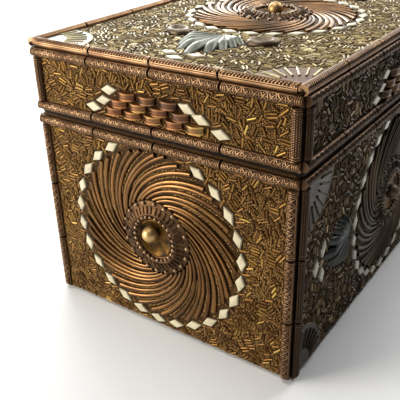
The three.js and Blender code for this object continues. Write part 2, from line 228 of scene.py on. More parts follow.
# embossed mouldings: dark in the recesses, rubbed bright on the relief; the right face's copy is darker,
# painted shade
mouldingLook = {"moulding": {"recess": rgb(0.009, 0.004, 0.002), "brown": rgb(0.180, 0.094, 0.044),
                             "rubbed": rgb(0.450, 0.270, 0.138)},
                # painted shade: a darker copy for the right face
                "mouldingRight": {"recess": rgb(0.008, 0.005, 0.003), "brown": rgb(0.054, 0.028, 0.013),
                                  "rubbed": rgb(0.150, 0.088, 0.045)}}
mouldingSheen = {"patch": 9.0, "patches": (0.3, 0.72), "rubbedAt": (0.45, 0.95), "raisedAt": (0.25, 0.7),
                 "fine": 0.6, "bump": (0.2, 0.05), "roughness": 0.52, "polish": 0.12, "metallic": 0.9}


def mouldingFinish(name):
    finish, flow, shader = newFinish("embossed_" + name)
    look = mouldingLook[name]
    relief = ownValue(flow, "relief")
    patina = cloud(flow, mouldingSheen["patch"]).over(*mouldingSheen["patches"])
    metal = flow.blend(look["brown"], look["rubbed"], patina * relief.over(*mouldingSheen["rubbedAt"]))
    colour = flow.blend(look["recess"], metal, relief.over(*mouldingSheen["raisedAt"]))
    roughness = mouldingSheen["roughness"] - relief * mouldingSheen["polish"]
    fine = bump(flow, cloud(flow, mouldingSheen["fine"], fineDetail), *mouldingSheen["bump"])
    finishUp(flow, shader, colour, roughness, mouldingSheen["metallic"], fine)
    return finish


plainSheen = {"patches": (0.32, 0.68), "fine": 0.7, "fineRough": 0.12, "bump": (0.18, 0.06)}


def plainFinish(name, low, high, blotch, roughness, metallic, toneShare=0.0, coat=0.0, coatRoughness=0.2):
    finish, flow, shader = newFinish(name)
    patch = cloud(flow, blotch).over(*plainSheen["patches"])
    if toneShare:
        patch = patch * (1 - toneShare) + ownValue(flow, "tone") * toneShare
    colour = flow.blend(low, high, patch)
    fine = cloud(flow, plainSheen["fine"], fineDetail)
    roughness += fine * plainSheen["fineRough"]
    finishUp(flow, shader, colour, roughness, metallic, bump(flow, fine, *plainSheen["bump"]))
    shader.inputs["Coat Weight"].default_value = coat
    shader.inputs["Coat Roughness"].default_value = coatRoughness
    return finish


# copper scales: grey-brown to copper to gold from scale to scale, rims rubbed and lightened as painted
# highlights, darker and pitted between; the right face's copy is darker, painted shade
scaleLook = {"scale": ((0.115, 0.072, 0.056), (0.360, 0.158, 0.064), (0.440, 0.280, 0.100)),
             # painted shade: a darker copy for the right face
             "scaleRight": ((0.030, 0.023, 0.019), (0.085, 0.048, 0.028), (0.120, 0.085, 0.045))}
scaleSheen = {"stops": (0.0, 0.55, 1.0), "toneShare": 0.75, "patch": 4.0, "patchDetail": 3.0,
              "patches": (0.3, 0.7), "between": rgb(0.55, 0.52, 0.55), "rims": rgb(1.35, 1.35, 1.15),
              "pit": 0.7, "pitRough": 0.22, "bump": (0.6, 0.16), "roughness": 0.26, "metallic": 0.9}


def scaleFinish(name):
    finish, flow, shader = newFinish("rubbedCopper_" + name)
    stops = list(zip(scaleSheen["stops"], scaleLook[name]))
    patch = cloud(flow, scaleSheen["patch"], scaleSheen["patchDetail"]).over(*scaleSheen["patches"])
    share = scaleSheen["toneShare"]
    patch = ownValue(flow, "tone") * share + patch * (1 - share)
    ramp = flow.add("ShaderNodeValToRGB", {"stops": stops}, {0: patch})
    # painted highlight on the rims together with their rubbing, darker between them
    rubbed = flow.blend(scaleSheen["between"], scaleSheen["rims"], ownValue(flow, "rim"))
    colour = flow.blend(ramp, rubbed, 1.0, "MULTIPLY")
    pits = cloud(flow, scaleSheen["pit"], fineDetail)
    roughness = scaleSheen["roughness"] + pits * scaleSheen["pitRough"]
    finishUp(flow, shader, colour, roughness, scaleSheen["metallic"], bump(flow, pits, *scaleSheen["bump"]))
    return finish


# low and high colour, size of the blotches, roughness, metallic, share of the piece's own tone and coat
# the rows ending in Right are darker copies for the right face: painted shade
plainLook = {
    "grain": ((0.235, 0.114, 0.030), (0.720, 0.440, 0.150), 9.0, 0.30, 0.92, 0.6, 0.15),
    "grainTop": ((0.130, 0.082, 0.042), (0.400, 0.300, 0.170), 9.0, 0.44, 0.9, 0.6),
    "grainRight": ((0.028, 0.016, 0.007), (0.130, 0.080, 0.038), 9.0, 0.34, 0.92, 0.6),
    "swirl": ((0.072, 0.030, 0.008), (0.295, 0.144, 0.042), 10.0, 0.28, 0.94, 0.6, 0.15),
    "swirlRight": ((0.020, 0.012, 0.006), (0.074, 0.046, 0.025), 10.0, 0.38, 0.92, 0.6),
    "bead": ((0.130, 0.072, 0.036), (0.360, 0.225, 0.115), 8.0, 0.30, 0.92, 0.4, 0.3),
    "beadRight": ((0.040, 0.028, 0.016), (0.140, 0.100, 0.060), 8.0, 0.32, 0.92, 0.4),
    "plate": ((0.042, 0.021, 0.009), (0.130, 0.066, 0.026), 6.0, 0.46, 0.9),
    "plateRight": ((0.014, 0.009, 0.005), (0.050, 0.033, 0.020), 6.0, 0.46, 0.9),
    "cup": ((0.014, 0.007, 0.0015), (0.150, 0.070, 0.009), 5.0, 0.42, 0.9),
    "ball": ((0.440, 0.280, 0.108), (0.600, 0.410, 0.175), 5.0, 0.42, 0.95),
    "ballRight": ((0.070, 0.048, 0.026), (0.130, 0.092, 0.052), 5.0, 0.48, 0.6),
    "fan": ((0.120, 0.064, 0.037), (0.185, 0.105, 0.063), 9.0, 0.50, 0.5),
    # painted reflection: a pale grey copy of the fan plate
    "fanPale": ((0.300, 0.320, 0.310), (0.460, 0.490, 0.480), 9.0, 0.34, 0.6),
    "fanRight": ((0.034, 0.029, 0.024), (0.080, 0.070, 0.058), 9.0, 0.40, 0.92),
    "pewter": ((0.095, 0.099, 0.077), (0.200, 0.205, 0.165), 9.0, 0.42, 0.85, 0.4),
    "pewterRight": ((0.015, 0.017, 0.015), (0.048, 0.052, 0.047), 9.0, 0.40, 0.9, 0.4),
    "oval": ((0.080, 0.056, 0.036), (0.200, 0.150, 0.100), 5.0, 0.44, 0.9, 0.3),
    "tile": ((0.490, 0.415, 0.260), (0.700, 0.625, 0.420), 7.0, 0.30, 0.0, 0.5, 0.2),
    "tileRight": ((0.330, 0.300, 0.225), (0.500, 0.465, 0.365), 7.0, 0.30, 0.0, 0.5, 0.2),
}
finishes = {"ground": groundFinish()}
for make, looks in ((bitFinish, bitLook), (mouldingFinish, mouldingLook), (scaleFinish, scaleLook)):
    for name in looks:
        finishes[name] = make(name)
for name, (low, high, *values) in plainLook.items():
    finishes[name] = plainFinish(name, rgb(*low), rgb(*high), *values)
print("finishes made:", len(finishes))


def finishOn(face, kind):  # a face's own finish where it has one: on the right a darker copy with painted shade, on the top paler bits with dust and painted sheen
    return finishes.get(kind + face.capitalize(), finishes[kind])


# faces of the casket: x to the right along the face, y up, z outwards
def faceMatrix(right, up, out, origin):
    turned = Matrix((right, up, out)).transposed().to_4x4()
    return Matrix.Translation(Vector(origin) * mm) @ turned


faces = {
    "front": faceMatrix((1, 0, 0), (0, 0, 1), (0, -1, 0), (0, -casket["halfDepth"], 0)),
    "right": faceMatrix((0, 1, 0), (0, 0, 1), (1, 0, 0), (casket["halfWidth"], 0, 0)),
    "back": faceMatrix((-1, 0, 0), (0, 0, 1), (0, 1, 0), (0, casket["halfDepth"], 0)),
    "left": faceMatrix((0, -1, 0), (0, 0, 1), (-1, 0, 0), (-casket["halfWidth"], 0, 0)),
    "top": faceMatrix((1, 0, 0), (0, 1, 0), (0, 0, 1), (0, 0, casket["height"])),
}


def onSpot(face, x, y, z=0.0):  # a place on a face, in mm
    return faces[face] @ Matrix.Translation((x * mm, y * mm, z * mm))


def newPiece(name, mesh, finish, slot, *nodes):
    piece = bpy.data.objects.new(name, mesh)
    bpy.context.scene.collection.objects.link(piece)
    if not mesh.materials:
        mesh.materials.append(finish)
    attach(piece, "root")
    if nodes:
        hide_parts(*nodes)


def solidMesh(name, points, sides, smooth=True):  # points in mm
    mesh = bpy.data.meshes.new(name)
    mesh.from_pydata([Vector(p) * mm for p in points], [], sides)
    mesh.polygons.foreach_set("use_smooth", [smooth] * len(mesh.polygons))
    mesh.update()
    return mesh


def mark(mesh, name, kind, domain, values):
    field = "vector" if kind == "FLOAT_VECTOR" else "value"
    mesh.attributes.new(name, kind, domain).data.foreach_set(field, values)


def sharpenRings(mesh, row):  # sharp edges along each ring of points
    sharp = [edge.vertices[0] // row == edge.vertices[1] // row for edge in mesh.edges]
    mark(mesh, "sharp_edge", "BOOLEAN", "EDGE", sharp)


def strips(levels, row, closed=True):  # quads between rings of points, one above the other
    for level in range(levels - 1):
        a, b = level * row, (level + 1) * row
        for i in range(row if closed else row - 1):
            j = (i + 1) % row
            yield a + i, a + j, b + j, b + i


# Geometry Nodes: an empty tree with its inputs, and the end of every tree
def newTree(name, inputs, output):
    tree = bpy.data.node_groups.new(name, "GeometryNodeTree")
    for label, kind in inputs.items():
        tree.interface.new_socket(label, in_out="INPUT", socket_type="NodeSocket" + kind)
    tree.interface.new_socket(output, in_out="OUTPUT", socket_type="NodeSocketGeometry")
    entry = tree.nodes.new("NodeGroupInput")
    return Flow(tree), {socket.name: Flow(tree, socket) for socket in entry.outputs if socket.name}


def endTree(flow, copies, finish):  # copies made real, with their finish
    whole = flow.add("GeometryNodeRealizeInstances", None, {"Geometry": copies})
    dressed = flow.add("GeometryNodeSetMaterial", None, {"Geometry": whole, "Material": finish})
    leave = flow.tree.nodes.new("NodeGroupOutput")
    flow.tree.links.new(dressed.socket, leave.inputs[0])
    return flow.tree


def settingTree():  # sets copies of a small shape on marked points
    inputs = {"Points": "Geometry", "Shape": "Object", "Size": "Float", "Finish": "Material"}
    flow, given = newTree("setOnPoints", inputs, "Pieces")
    shape = flow.add("GeometryNodeObjectInfo", None, {"Object": given["Shape"]}, "Geometry")
    named = {"data_type": "FLOAT_VECTOR"}
    turn = flow.add("GeometryNodeInputNamedAttribute", named, {"Name": "turn"})
    stretch = flow.add("GeometryNodeInputNamedAttribute", named, {"Name": "stretch"})
    sockets = {"Vector": stretch, "Scale": given["Size"]}
    scaled = flow.add("ShaderNodeVectorMath", {"operation": "SCALE"}, sockets)
    sockets = {"Points": given["Points"], "Instance": shape, "Rotation": turn, "Scale": scaled}
    return endTree(flow, flow.add("GeometryNodeInstanceOnPoints", None, sockets), given["Finish"])


settings = settingTree()


def plainMesh(source, tree, values):  # the result of a tree as a mesh of its own
    modifier = source.modifiers.new("nodes", "NODES")
    modifier.node_group = tree
    for item in tree.interface.items_tree:
        if item.in_out == "INPUT" and item.name in values:
            modifier[item.identifier] = values[item.name]
    evaluated = source.evaluated_get(bpy.context.evaluated_depsgraph_get())
    mesh = bpy.data.meshes.new_from_object(evaluated)
    source.modifiers.remove(modifier)
    return mesh


# one piece of many copies; each place: face, x, y, z, turn about the face's normal, stretch and tone
def setPieces(name, shape, places, finish, slot, *nodes):
    cloudMesh = bpy.data.meshes.new(name + "Points")
    spots, turns, stretches, tones = [], [], [], []
    for face, x, y, z, turn, stretch, tone in places:
        matrix = onSpot(face, x, y, z) @ Matrix.Rotation(turn, 4, "Z")
        spots.append(matrix.translation)
        turns.extend(matrix.to_euler())
        stretches.extend(stretch)
        tones.append(tone)
    cloudMesh.from_pydata(spots, [], [])
    mark(cloudMesh, "turn", "FLOAT_VECTOR", "POINT", turns)
    mark(cloudMesh, "stretch", "FLOAT_VECTOR", "POINT", stretches)
    mark(cloudMesh, "tone", "FLOAT", "POINT", tones)
    holder = bpy.data.objects.new(name + "Holder", cloudMesh)
    template = bpy.data.objects.new(name + "Shape", shape)
    for helper in (holder, template):
        bpy.context.scene.collection.objects.link(helper)
    bpy.context.view_layer.update()
    mesh = plainMesh(holder, settings, {"Shape": template, "Size": 1.0, "Finish": finish})
    mesh.name = name
    for helper in (holder, template):
        bpy.data.objects.remove(helper)
    for key in ("turn", "stretch"):
        if key in mesh.attributes:
            mesh.attributes.remove(mesh.attributes[key])
    newPiece(name, mesh, finish, slot, *nodes)


# small shapes, in units of their stretch
def lathe(profile, sides):  # profile of (radius, height) from the bottom to the top on the axis
    points, quads, rows = [], [], []
    for radius, height in profile:
        if radius == 0:
            rows.append([len(points)] * sides)
            points.append((0, 0, height))
            continue
        rows.append(list(range(len(points), len(points) + sides)))
        for i in range(sides):
            angle = 2 * math.pi * i / sides
            points.append((*polar(0, 0, radius, angle), height))
    for low, high in zip(rows, rows[1:]):
        for i in range(sides):
            j = (i + 1) % sides
            corners = list(dict.fromkeys((low[i], low[j], high[j], high[i])))
            if len(corners) > 2:
                quads.append(corners)
    quads.append(rows[0][::-1])
    return points, quads


def wireBitShape(slope=0.0, sides=8):  # one long and one thick, along x, rising by the slope
    points, quads = [], []
    for end in (-0.5, 0.5):
        for i in range(sides):
            angle = 2 * math.pi * i / sides
            points.append((end, math.cos(angle), math.sin(angle) + slope * end))
    for i in range(sides):
        j = (i + 1) % sides
        quads.append((i, i + sides, j + sides, j))
    ends = [tuple(range(sides)), tuple(range(2 * sides - 1, sides - 1, -1))]
    mesh = solidMesh("wireBit", points, quads + ends)
    for polygon in mesh.polygons:
        polygon.use_smooth = len(polygon.vertices) == 4
    sharpenRings(mesh, sides)
    return mesh


def grainShape():
    points = [(1, 0, 0), (0, 1, 0), (-1, 0, 0), (0, -1, 0), (0, 0, 1)]
    sides = [(i, (i + 1) % 4, 4) for i in range(4)] + [(3, 2, 1, 0)]
    return solidMesh("grain", points, sides)


lozenge = {"long": 4.7, "wide": 2.4, "levels": ((1.0, -0.2), (1.0, 0.62), (0.84, 0.95), (0.45, 1.05))}


def lozengeShape():  # long along x, with a bevel in two steps
    points = []
    for share, height in lozenge["levels"]:
        along, across = lozenge["long"] * share, lozenge["wide"] * share
        points += [(along, 0, height), (0, across, height), (-along, 0, height), (0, -across, height)]
    ends = [(3, 2, 1, 0), tuple(range(len(points) - 4, len(points)))]
    return solidMesh("lozenge", points, [*strips(len(lozenge["levels"]), 4), *ends], False)


bead = {"profile": ((0.75, -0.6), (1.0, 0.0), (0.72, 0.7), (0, 1.0)), "sides": 7}


def beadShape():
    return solidMesh("bead", *lathe(bead["profile"], bead["sides"]))


# what lies where, in mm on each face
rosettes = {
    "front": {"centre": (-3.0, 52.2), "hub": (0.6, 0.6), "ball": (-1.8, 2.2), "wires": 39, "ring": 47.3,
              "first": 58.0, "last": -241.2, "tiles": 23},
    "right": {"centre": (0.0, 51.5), "hub": (0.0, 0.0), "wires": 34, "ring": 45.0,
              "first": 70.0, "last": -250.0, "tiles": 25},
    "top": {"centre": (0.0, 0.0), "hub": (0.0, 0.0), "wires": 34, "ring": 45.0,
            "first": 90.0, "last": -256.0, "tiles": 26},
    "back": {"centre": (0.0, 51.5), "hub": (0.0, 0.0), "wires": 34, "ring": 45.0, "tiles": 0},
    "left": {"centre": (0.0, 51.5), "hub": (0.0, 0.0), "wires": 34, "ring": 45.0, "tiles": 0},
}
palmettes = {
    "palmette_right_front": {"face": "right", "root": (-50.5, 51.5), "turn": 90.0, "length": 29.0},
    "palmette_right_back": {"face": "right", "root": (50.5, 51.5), "turn": -90.0, "length": 29.0},
    "palmette_top_front": {"face": "top", "root": (1.7, -52.4), "turn": 184.0, "length": 35.0},
    "palmette_top_back": {"face": "top", "root": (-1.7, 52.4), "turn": 4.0, "length": 35.0},
}
petalLook = {"leans": (-54, -40, -27, -14, 0, 14, 27, 40, 54), "widest": 0.66,
             "shares": (0.57, 0.65, 0.73, 0.87, 1, 0.87, 0.73, 0.65, 0.57),
             "width": 1.40, "spread": 0.050, "rise": 3.0, "tones": (0.3, 1.0), "steps": 14, "across": 10,
             "crest": (0.3, 0.7), "tipFall": 4, "plump": 0.8, "rootGap": 0.01,
             "tipGap": (1.0, 7.6), "tipSide": 6.8, "tipLeans": (6, -4, -8)}
lidScales = {"front": 0.0, "right": 0.0}  # middle of the rows of scales
scaleRows = {"rows": ((5, 0.0, 112.2), (4, -2.0, 116.2), (3, -2.6, 120.2)), "pitch": 11.0,
             "tones": ((0.45, 0.6, 0.7, 0.5, 1.0), (0.5, 0.75, 0.4, 0.1), (0.5, 0.2, 0.05))}
lidTiles = ((-24.0, 121.1, 6), (-27.7, 115.8, 10), (-34.0, 111.7, -3),
            (17.8, 119.9, -20), (24.6, 116.5, -16), (34.1, 112.1, -9))  # x, y and lean
ovalBosses = ((-21.2, -56.5, -35), (24.6, -56.5, 35),
              (21.2, 56.5, -35), (-24.6, 56.5, 35))  # x, y and lean, on the top
fanLook = {"radius": 23.0, "steps": 16, "levels": ((1.0, 0.0), (1.0, 0.55), (0.965, 0.8), (0.06, 0.8)),
           "slats": 7, "slatRing": 16.4, "slatRise": 0.85, "slat": (9.6, 0.5, 0.62),
           "edging": 15, "edgingGap": 0.35, "edgingRise": 0.3, "edgingBit": (2.1, 0.45, 0.6),
           "edgingTones": (0.2, 0.9),
           # slats on the right face take the darkest tones, painted shade; the pale top fans carry a painted
           # reflection
           "tones": {"top": (0.75, 1.0), "right": (0.0, 0.2)}, "pale": (("top", 0), ("top", 2))}


def onFace(node, face):  # the box of a node in the face's own mm
    inverse = faces[face].inverted()
    ends = [inverse @ Vector(corner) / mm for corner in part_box(node)]
    return [sorted((ends[0][axis], ends[1][axis])) for axis in range(2)]


# the panels between the mouldings
panels = {}
footGap = 1.4
for face in ("front", "right", "back", "left"):
    shoulder = onFace("body_upper_moulding_" + face, face)[1]
    low, high = (onFace("lid_%s_moulding_%s" % (place, face), face)[1] for place in ("lower", "upper"))
    for zone, upright in (("body", (footGap, shoulder[0])), ("lid", (low[1], high[0]))):
        left, right = (onFace("%s_upright_%s_%s" % (zone, face, end), face)[0] for end in "ab")
        panels[face + "_" + zone] = (face, (left[1], right[0]), upright)
left, right = (onFace("rim_moulding_" + end, "top")[0] for end in ("left", "right"))
near, far = (onFace("rim_moulding_" + end, "top")[1] for end in ("front", "back"))
panels["top_lid"] = ("top", (left[1], right[0]), (near[1], far[0]))


ringLook = {"seed": 11, "lean": 0.14}


def ringTiles(face):
    rosette = rosettes[face]
    spread = random.Random(ringLook["seed"] + len(face))
    tiles = []
    for i in range(rosette["tiles"]):
        share = i / (rosette["tiles"] - 1)
        angle = math.radians(rosette["first"] + (rosette["last"] - rosette["first"]) * share)
        turn = angle + math.pi / 2 + spread.uniform(-ringLook["lean"], ringLook["lean"])
        tiles.append((*polar(*rosette["centre"], rosette["ring"], angle), turn))
    return tiles


def tipTiles(palmette):
    turn = math.radians(palmette["turn"])
    tiles = []
    beside, beyond = (gap + palmette["length"] for gap in petalLook["tipGap"])
    side = petalLook["tipSide"]
    spots = ((-side, beside), (0.0, beyond), (side, beside))
    for (x, y), lean in zip(spots, petalLook["tipLeans"]):
        across = palmette["root"][0] + x * math.cos(turn) - y * math.sin(turn)
        upward = palmette["root"][1] + x * math.sin(turn) + y * math.cos(turn)
        tiles.append((across, upward, turn + math.radians(lean)))
    return tiles


looseTiles = {face: [] for face in faces}
for palmette in palmettes.values():
    looseTiles[palmette["face"]] += tipTiles(palmette)
for face, middle in lidScales.items():
    looseTiles[face] += [(x + middle, y, math.radians(lean)) for x, y, lean in lidTiles]
fanCorners = {"right": [], "top": []}
for face, corners in fanCorners.items():
    for number in range(4):
        xs, ys = onFace("corner_fan_%s_%d" % (face, number + 1), face)
        corners.append((xs[number in (1, 2)], ys[number in (2, 3)], 90 * number))


def lobes(palmette):  # turn, length and half width of each petal
    for lean, share in zip(petalLook["leans"], petalLook["shares"]):
        length = palmette["length"] * share
        half = petalLook["width"] + petalLook["spread"] * length
        yield math.radians(palmette["turn"] + lean), length, half


def lobeWidth(share):  # a lobe opens in a straight line, then rounds off to its tip
    widest = petalLook["widest"]
    if share < widest:
        return share / widest
    return math.sqrt(max(0, 1 - ((share - widest) / (1 - widest)) ** 2))


clearance = {"ring": 2.2, "tile": 3.0, "tileSide": 3.0, "tileEnd": 1.9, "petal": 0.3, "fan": 0.9,
             "scale": 2.1, "scaleSide": 3.2, "oval": 5.6, "ovalSide": 1.8}


def keepOut(panel):  # circles that loose ornament stays out of: (x, y, radius)
    face = panels[panel][0]
    rosette = rosettes[face]
    circles = [(*rosette["centre"], rosette["ring"] - clearance["ring"])]
    tiles = ringTiles(face) + looseTiles[face]
    circles += [(x, y, clearance["tile"]) for x, y, turn in tiles]
    for x, y, turn in tiles:
        for side in (-clearance["tileSide"], clearance["tileSide"]):
            circles.append((*polar(x, y, side, turn), clearance["tileEnd"]))
    for palmette in palmettes.values():
        if palmette["face"] != face:
            continue
        for turn, length, half in lobes(palmette):
            for tenth in range(1, 10):
                share = tenth / 10
                x = palmette["root"][0] - length * share * math.sin(turn)
                y = palmette["root"][1] + length * share * math.cos(turn)
                circles.append((x, y, half * lobeWidth(share) + clearance["petal"]))
    if panel in ("right_body", "top_lid"):
        circles += [(x, y, fanLook["radius"] + clearance["fan"]) for x, y, turn in fanCorners[face]]
    if face in lidScales:
        for count, middle, y in scaleRows["rows"]:
            for i in range(count):
                x = lidScales[face] + middle + scaleRows["pitch"] * (i - (count - 1) / 2)
                reach = clearance["scaleSide"]
                circles += [(x + side, y, clearance["scale"]) for side in (-reach, 0, reach)]
    for x, y, lean in ovalBosses if face == "top" else ():
        turn, reach = math.radians(lean), clearance["ovalSide"]
        circles += [(*polar(x, y, side, turn), clearance["oval"]) for side in (-reach, 0, reach)]
    return circles


# chopped wire, thrown down in small parallel groups until the face is full
wireBits = {"length": 4.1, "lengths": (0.8, 1.12), "thickness": 0.55, "rise": 0.16, "rowGap": 1.42,
            "clear": 1.3, "margin": 0.3, "beside": 0.35, "tries": 60, "triesArea": 40, "seed": 100,
            "groups": (1, 1, 1, 1, 1, 2, 2, 2, 3, 4), "lean": 0.06, "tone": (0.42, 0.18), "toneSpread": 0.12,
            "brightest": 0.75, "yellowShare": 0.02, "yellowLift": 0.25, "samples": (-0.8, -0.27, 0.27, 0.8)}
cell = 2.0  # grid for finding neighbours


def inCell(x, y):
    return int(x // cell), int(y // cell)


def neighbours(taken, x, y):
    i, j = inCell(x, y)
    for di in (-1, 0, 1):
        for dj in (-1, 0, 1):
            yield from taken.get((i + di, j + dj), ())


def tooNear(x, y, spots, reach):
    return any((x - px) ** 2 + (y - py) ** 2 < reach ** 2 for px, py in spots)


def inCircles(x, y, circles):
    return any((x - cx) ** 2 + (y - cy) ** 2 < radius * radius for cx, cy, radius in circles)


def throwBits(panel, seed):
    face, across, upright = panels[panel]
    draw = random.Random(seed)
    circles = [(x, y, radius + wireBits["beside"]) for x, y, radius in keepOut(panel)]
    margin, thickness = wireBits["margin"], wireBits["thickness"]
    taken, bits = {}, []

    def samples(x, y, turn, length):
        for share in wireBits["samples"]:
            yield polar(x, y, share * (length / 2), turn)

    def free(x, y, turn, length):
        for px, py in samples(x, y, turn, length):
            if not across[0] + margin < px < across[1] - margin:
                return False
            if not upright[0] + margin < py < upright[1] - margin:
                return False
            if inCircles(px, py, circles) or tooNear(px, py, neighbours(taken, px, py), wireBits["clear"]):
                return False
        return True

    area = (across[1] - across[0]) * (upright[1] - upright[0])
    for attempt in range(int(area * wireBits["tries"] / wireBits["triesArea"])):
        x, y = draw.uniform(*across), draw.uniform(*upright)
        turn = draw.uniform(0, math.pi)
        count = draw.choice(wireBits["groups"])
        tone = min(wireBits["brightest"], max(0.0, draw.gauss(*wireBits["tone"])))
        tone += (draw.random() < wireBits["yellowShare"]) * wireBits["yellowLift"]
        for i in range(count):
            offset = (i - (count - 1) / 2) * wireBits["rowGap"]
            lean = turn + draw.gauss(0, wireBits["lean"])
            bx, by = x - offset * math.sin(turn), y + offset * math.cos(turn)
            length = wireBits["length"] * draw.uniform(*wireBits["lengths"])
            if free(bx, by, lean, length):
                shade = min(1.0, max(0.0, tone + draw.gauss(0, wireBits["toneSpread"])))
                stretch = (length, thickness, thickness)
                bits.append((face, bx, by, wireBits["rise"], lean, stretch, shade))
                for px, py in samples(bx, by, lean, length):
                    taken.setdefault(inCell(px, py), []).append((px, py))
    return bits, taken, circles


grains = {"pitch": 0.84, "size": 0.45, "clear": 0.80, "sunk": -0.02, "jitter": 0.32, "tall": 1.3, "seed": 200,
          "sizes": (0.75, 1.15), "tones": (0.2, 1.0), "turns": (0, 1.5), "faces": ("front", "right", "top")}


def strewGrains(panel, seed, taken, circles):
    face, across, upright = panels[panel]
    draw = random.Random(seed)
    places = []
    jitter = grains["jitter"]
    rows = int((upright[1] - upright[0]) / grains["pitch"])
    columns = int((across[1] - across[0]) / grains["pitch"])
    for row in range(rows):
        for column in range(columns):
            x = across[0] + (column + 0.5 + draw.uniform(-jitter, jitter)) * grains["pitch"]
            y = upright[0] + (row + 0.5 + draw.uniform(-jitter, jitter)) * grains["pitch"]
            turn = draw.uniform(*grains["turns"])
            size = draw.uniform(*grains["sizes"]) * grains["size"]
            tone = draw.uniform(*grains["tones"])
            if inCircles(x, y, circles) or tooNear(x, y, neighbours(taken, x, y), grains["clear"]):
                continue
            places.append((face, x, y, grains["sunk"], turn, (size, size, size * grains["tall"]), tone))
    return places


bitShape, seedShape = wireBitShape(), grainShape()
for number, panel in enumerate(panels):
    bits, taken, circles = throwBits(panel, wireBits["seed"] + number)
    face = panels[panel][0]
    setPieces("wire_bits_" + panel, bitShape, bits, finishOn(face, "bit"), "ground")
    strewn = 0
    if face in grains["faces"]:
        places = strewGrains(panel, grains["seed"] + number, taken, circles)
        strewn = len(places)
        setPieces("grains_" + panel, seedShape, places, finishOn(face, "grain"), "ground")
    print("loose ornament on", panel + ":", len(bits), "bits,", strewn, "grains")

for node in ("body", "lid"):
    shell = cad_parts[node]
    shell.data.materials.clear()
    shell.data.materials.append(finishes["ground"])


# embossed round mouldings
moulding = {"radius": 2.1, "axis": 0.5, "pieceLength": 35.0, "jointHalf": 0.5, "jointDepth": 0.6,
            "relief": 0.32, "level": 0.75, "edge": 0.22, "endPlain": 2.2, "uprightRub": 0.84,
            "rimLean": 1.6, "rimInset": 0.65, "footReach": 2.6, "footLow": 0.08, "seatReach": 0.3,
            "ringsAt": (0.0, 0.9, 1.8), "ringWidth": 0.3, "uncutEnd": 1.0}
lattice = {"unit": 3.9, "bar": 0.9, "barHalf": 0.26, "figure": 1.75, "legHalf": 0.29, "besideInset": 0.3,
           "besideDot": 0.30, "beyondAt": 0.85, "beyondDot": 0.26, "railGap": 0.5, "railHalf": 0.24,
           "band": 2.7, "bandFade": 0.4, "plain": 0.6}
dotted = {"pitch": 0.98, "dot": 0.34, "low": 0.25}
beaded = {"pitch": 1.5, "slant": 0.6, "dashHalf": 0.46, "dashReach": 0.85, "lineAt": 1.15, "lineHalf": 0.24,
          "plainFrom": 1.5, "plainFade": 0.3, "plain": 0.85}
barred = {"pitch": 7.8, "plain": 0.62, "barRise": 0.38, "barAt": 0.7, "barWidth": 0.45,
          "cut": 0.5, "cutWidth": 0.4}
mouldingSteps = {"front": (0.25, 28), "right": (0.34, 22), "hidden": (0.55, 10)}  # step length and sides


def ridge(distance, width):
    return np.exp(-(distance / width) ** 2)


def endRings(along, pieceLength):
    edge = np.minimum(along, pieceLength - along)
    rings = [ridge(edge - place, moulding["ringWidth"]) for place in moulding["ringsAt"]]
    return edge, np.maximum.reduce(rings)


def raised(distance, reach):  # flat on top, with a steep edge at the reach
    return np.clip((reach - distance) / moulding["edge"] + 0.5, 0, 1)


def latticeRelief(along, around, pieceLength):  # crosses with dots round them, between bars
    edge, rings = endRings(along, pieceLength)
    inner = pieceLength - 2 * moulding["endPlain"]
    units = max(1, round((inner - lattice["bar"]) / lattice["unit"]))
    unit = (inner - lattice["bar"]) / units
    local = np.mod(along - moulding["endPlain"], unit)
    bar = raised(np.abs(local - lattice["bar"] / 2), lattice["barHalf"])
    wide, high = unit - lattice["bar"], lattice["figure"]
    across = np.abs(local - lattice["bar"] - wide / 2)
    slope = 2 * high / wide
    legs = raised(np.abs(np.abs(around) - slope * across) / math.hypot(1, slope), lattice["legHalf"])
    beside = raised(np.hypot(across - wide / 2 + lattice["besideInset"], around), lattice["besideDot"])
    beyond = raised(np.hypot(across, np.abs(around) - lattice["beyondAt"] * high), lattice["beyondDot"])
    rails = raised(np.abs(np.abs(around) - high - lattice["railGap"]), lattice["railHalf"])
    figure = np.where(local < lattice["bar"], bar, np.maximum.reduce([legs, beside, beyond, rails]))
    figure = figure * (edge > moulding["endPlain"])
    band = np.clip((lattice["band"] - np.abs(around)) / lattice["bandFade"], 0, 1)
    return np.maximum(rings, figure * band + (1 - band) * lattice["plain"])


def dottedRelief(along, around, pieceLength):  # staggered rows of dots, on the uprights
    edge, rings = endRings(along, pieceLength)
    pitch, low = dotted["pitch"], dotted["low"]
    row = np.round(around / pitch)
    place = np.mod(along + 0.5 * pitch * np.mod(row, 2), pitch) - pitch / 2
    dots = raised(np.hypot(place, around - row * pitch), dotted["dot"])
    return np.maximum(rings, low + (1 - low) * dots * (edge > moulding["endPlain"]))


def beadedRelief(along, around, pieceLength):  # a row of slanting dashes above a plain side
    edge, rings = endRings(along, pieceLength)
    pitch = pieceLength / max(1, round(pieceLength / beaded["pitch"]))
    place = np.abs(np.mod(along + beaded["slant"] * around, pitch) - pitch / 2)
    dashes = raised(place, beaded["dashHalf"]) * (np.abs(around) < beaded["dashReach"])
    lines = raised(np.abs(np.abs(around) - beaded["lineAt"]), beaded["lineHalf"])
    smooth = np.clip((np.abs(around) - beaded["plainFrom"]) / beaded["plainFade"], 0, 1)
    return np.maximum.reduce([dashes, lines, smooth * beaded["plain"], rings])


def barredRelief(along, around, pieceLength):  # plain rod with pairs of bars, for the hidden sides
    unit = pieceLength / max(1, round(pieceLength / barred["pitch"]))
    local = np.mod(along + unit / 2, unit) - unit / 2
    bars = barred["barRise"] * ridge(np.abs(local) - barred["barAt"], barred["barWidth"])
    return np.clip(barred["plain"] + bars - barred["cut"] * ridge(local, barred["cutWidth"]), 0, 1)


